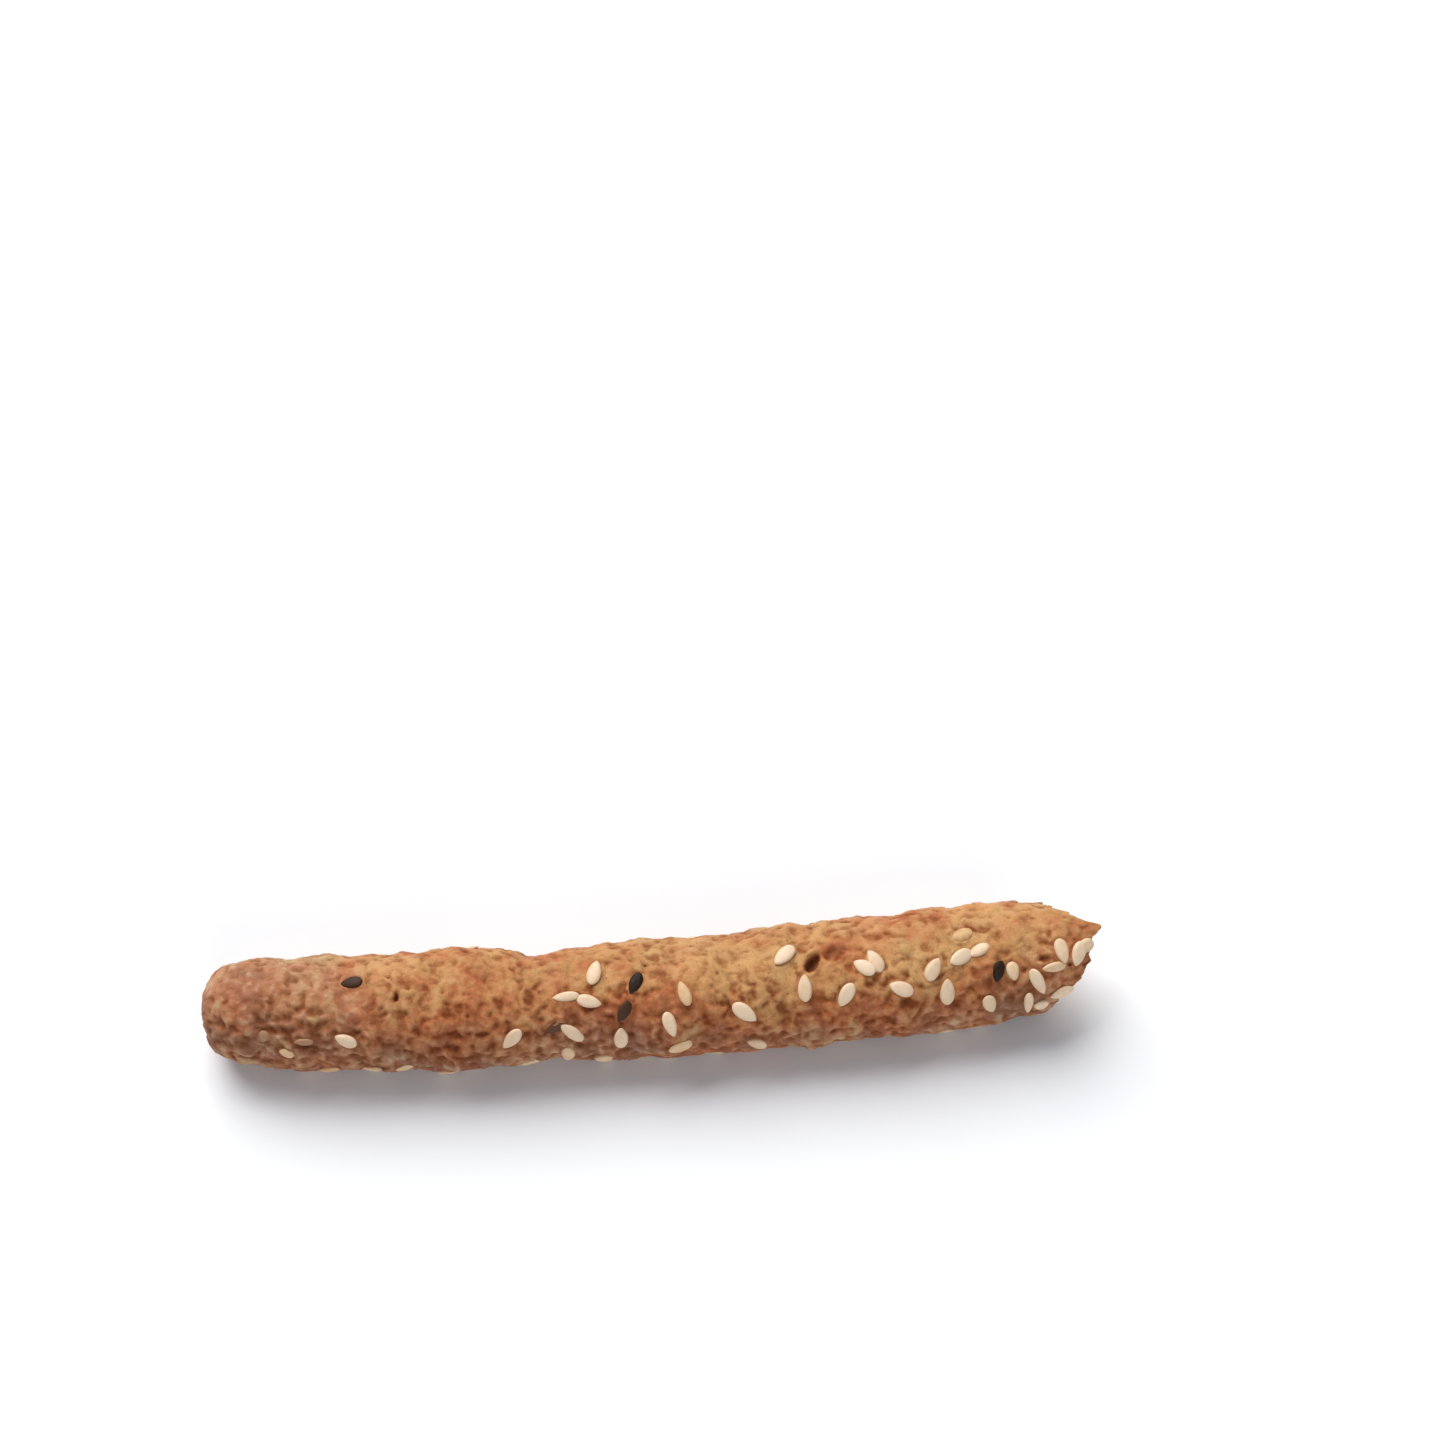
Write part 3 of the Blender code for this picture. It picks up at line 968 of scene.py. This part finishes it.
def crumb_finish():
    """Pale dried crumb, darker in its pores as painted shade, browner towards the crust, with a few
    brown specks.
    """
    nodes = Nodes("crumb")
    specks = nodes.ranged(nodes.noise(3.0, 2.0), 0.68, 0.75, 0.0, 0.5)
    base = nodes.ramp(nodes.noise(0.6, 5.0), ((0.3, GOLDEN), (0.46, CRUMB_TOASTED), (0.6, CRUMB_PALE)))
    # darker in the pores: painted shade
    base = nodes.mix(nodes.ranged(nodes.attribute("pore"), 0.1, 0.9, 0.0, 0.8), base, CRUMB_PORE_SHADE)
    base = nodes.mix(nodes.ranged(nodes.attribute("edge"), 0.90, 1.0, 0.0, 0.75), base, TAN)
    base = nodes.mix(specks, base, BROWN)
    return nodes.finish(base, 0.9, 0.2, nodes.bump(nodes.noise(3.0, 5.0, 0.75), 0.22, 1.0))


def white_seed_finish():
    """Satin cream hull, some of them toasted, a little browner at the point and along the margin."""
    nodes = Nodes("sesame_white")
    toast = nodes.varied(nodes.attribute("toast"), nodes.attribute("own"), 0.0, 1.0, -0.05, 0.22)
    toast = nodes.varied(toast, nodes.noise(1.2), 0.35, 0.7, -0.12, 0.18)
    base = nodes.ramp(toast, ((0.0, HULL_CREAM), (0.75, HULL_TOAST), (1.0, HULL_COATED)))
    base = nodes.mix(nodes.ranged(nodes.attribute("tip"), 0.12, 0.0, 0.0, 0.4), base, HULL_TOAST)
    base = nodes.mix(nodes.ranged(nodes.attribute("margin"), 0.72, 0.9, 0.0, 0.18), base, HULL_TOAST)
    return nodes.finish(base, 0.48, 0.3, nodes.bump(nodes.noise(3.0), 0.05, 0.5))


def black_seed_finish():
    """Brown-black hull, worn paler in places, and browner where dough has coated it."""
    nodes = Nodes("sesame_black")
    base = nodes.ramp(nodes.noise(1.6), ((0.3, HULL_BLACK), (0.75, HULL_WORN)))
    coated = nodes.ranged(nodes.attribute("toast"), 0.0, 1.0, 0.0, 0.7)
    base = nodes.mix(coated, base, HULL_DOUGHY)
    return nodes.finish(base, 0.55, 0.2, nodes.bump(nodes.noise(5.0), 0.04, 0.6))


# ---------------------------------------------------------------- the pieces on the frame

crust = crust_piece(crust_finish())
crumb = crumb_piece(crumb_finish())
white_seeds = seeds_piece("white_sesame", WHITE_ROWS, 1.0, white_seed_finish(), 11)
black_seeds = seeds_piece("black_sesame", BLACK_ROWS, BLACK_SHARE, black_seed_finish(), 12)
SLOTS = (
    (crust, "crust"),
    (crumb, "crumb"),
    (white_seeds, "sesame_white"),
    (black_seeds, "sesame_black"),
)
for piece, slot in SLOTS:
    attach(piece, "root")
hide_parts(NODE)


# ---------------------------------------------------------------- floor, light and camera, in metres

FLOOR_REACH = 4.0
FLOOR_WHITE = (0.90, 0.90, 0.90)
# Square lights turned to the stick: name, place, side and power in watts
LIGHTS = (
    ("key", (-1.32, 3.12, 3.96), 4.5, 385),
    ("fill", (1.2, -5.1, 2.4), 4.2, 112),
)
SKY_COLOUR = (0.86, 0.96, 1.12)
SKY_STRENGTH = 0.20
LENS = 90  # in mm, like the sensor
SENSOR = 36
CAMERA_AIM = (0.0109, 0.0315, 0.0172)
CAMERA_DISTANCE = 0.453
CAMERA_DOWN = np.radians(62)
CAMERA_ASIDE = np.radians(4.6)


def look_along(thing, way):
    """Turns a light or the camera to look along a way."""
    thing.rotation_mode = "QUATERNION"
    thing.rotation_quaternion = way.to_track_quat("-Z", "Y")


def floor():
    """A wide pale floor."""
    mesh = bpy.data.meshes.new("floor")
    r = FLOOR_REACH
    mesh.from_pydata([(-r, -r, 0), (r, -r, 0), (r, r, 0), (-r, r, 0)], [], [(0, 1, 2, 3)])
    mesh.materials.append(Nodes("floor").finish(FLOOR_WHITE, 0.9, 0.5))
    plane = new_object("floor", mesh)


def soft_light(name, place, side, power):
    """A square area light at place, turned to the origin."""
    data = bpy.data.lights.new(name, "AREA")
    data.size = side
    data.energy = power
    light = new_object(name, data)
    light.location = place
    look_along(light, -Vector(place))


def surroundings():
    """Even light from all round, in front of a white that only the camera sees."""
    world = bpy.data.worlds.new("studio")
    world.use_nodes = True
    tree = world.node_tree
    seen = tree.nodes.new("ShaderNodeLightPath").outputs["Is Camera Ray"]
    sky = tree.nodes["Background"]
    sky.inputs["Color"].default_value = (*SKY_COLOUR, 1)
    sky.inputs["Strength"].default_value = SKY_STRENGTH
    white = tree.nodes.new("ShaderNodeBackground")
    white.inputs["Color"].default_value = (1, 1, 1, 1)
    either = tree.nodes.new("ShaderNodeMixShader")
    for output, socket in ((seen, 0), (sky.outputs[0], 1), (white.outputs[0], 2)):
        tree.links.new(output, either.inputs[socket])
    tree.links.new(either.outputs[0], tree.nodes["World Output"].inputs["Surface"])
    bpy.context.scene.world = world


def camera():
    """A long lens that looks down from the front, a little from the left, and past the stick."""
    data = bpy.data.cameras.new("camera")
    data.lens = LENS
    data.sensor_width = SENSOR
    level = np.cos(CAMERA_DOWN)
    sideways = np.sin(CAMERA_ASIDE) * level
    look = Vector((sideways, np.cos(CAMERA_ASIDE) * level, -np.sin(CAMERA_DOWN)))
    eye = new_object("camera", data)
    eye.location = Vector(CAMERA_AIM) - look * CAMERA_DISTANCE
    look_along(eye, look)
    bpy.context.scene.camera = eye


floor()
for light in LIGHTS:
    soft_light(*light)
surroundings()
camera()
bpy.context.scene.view_settings.view_transform = "Standard"
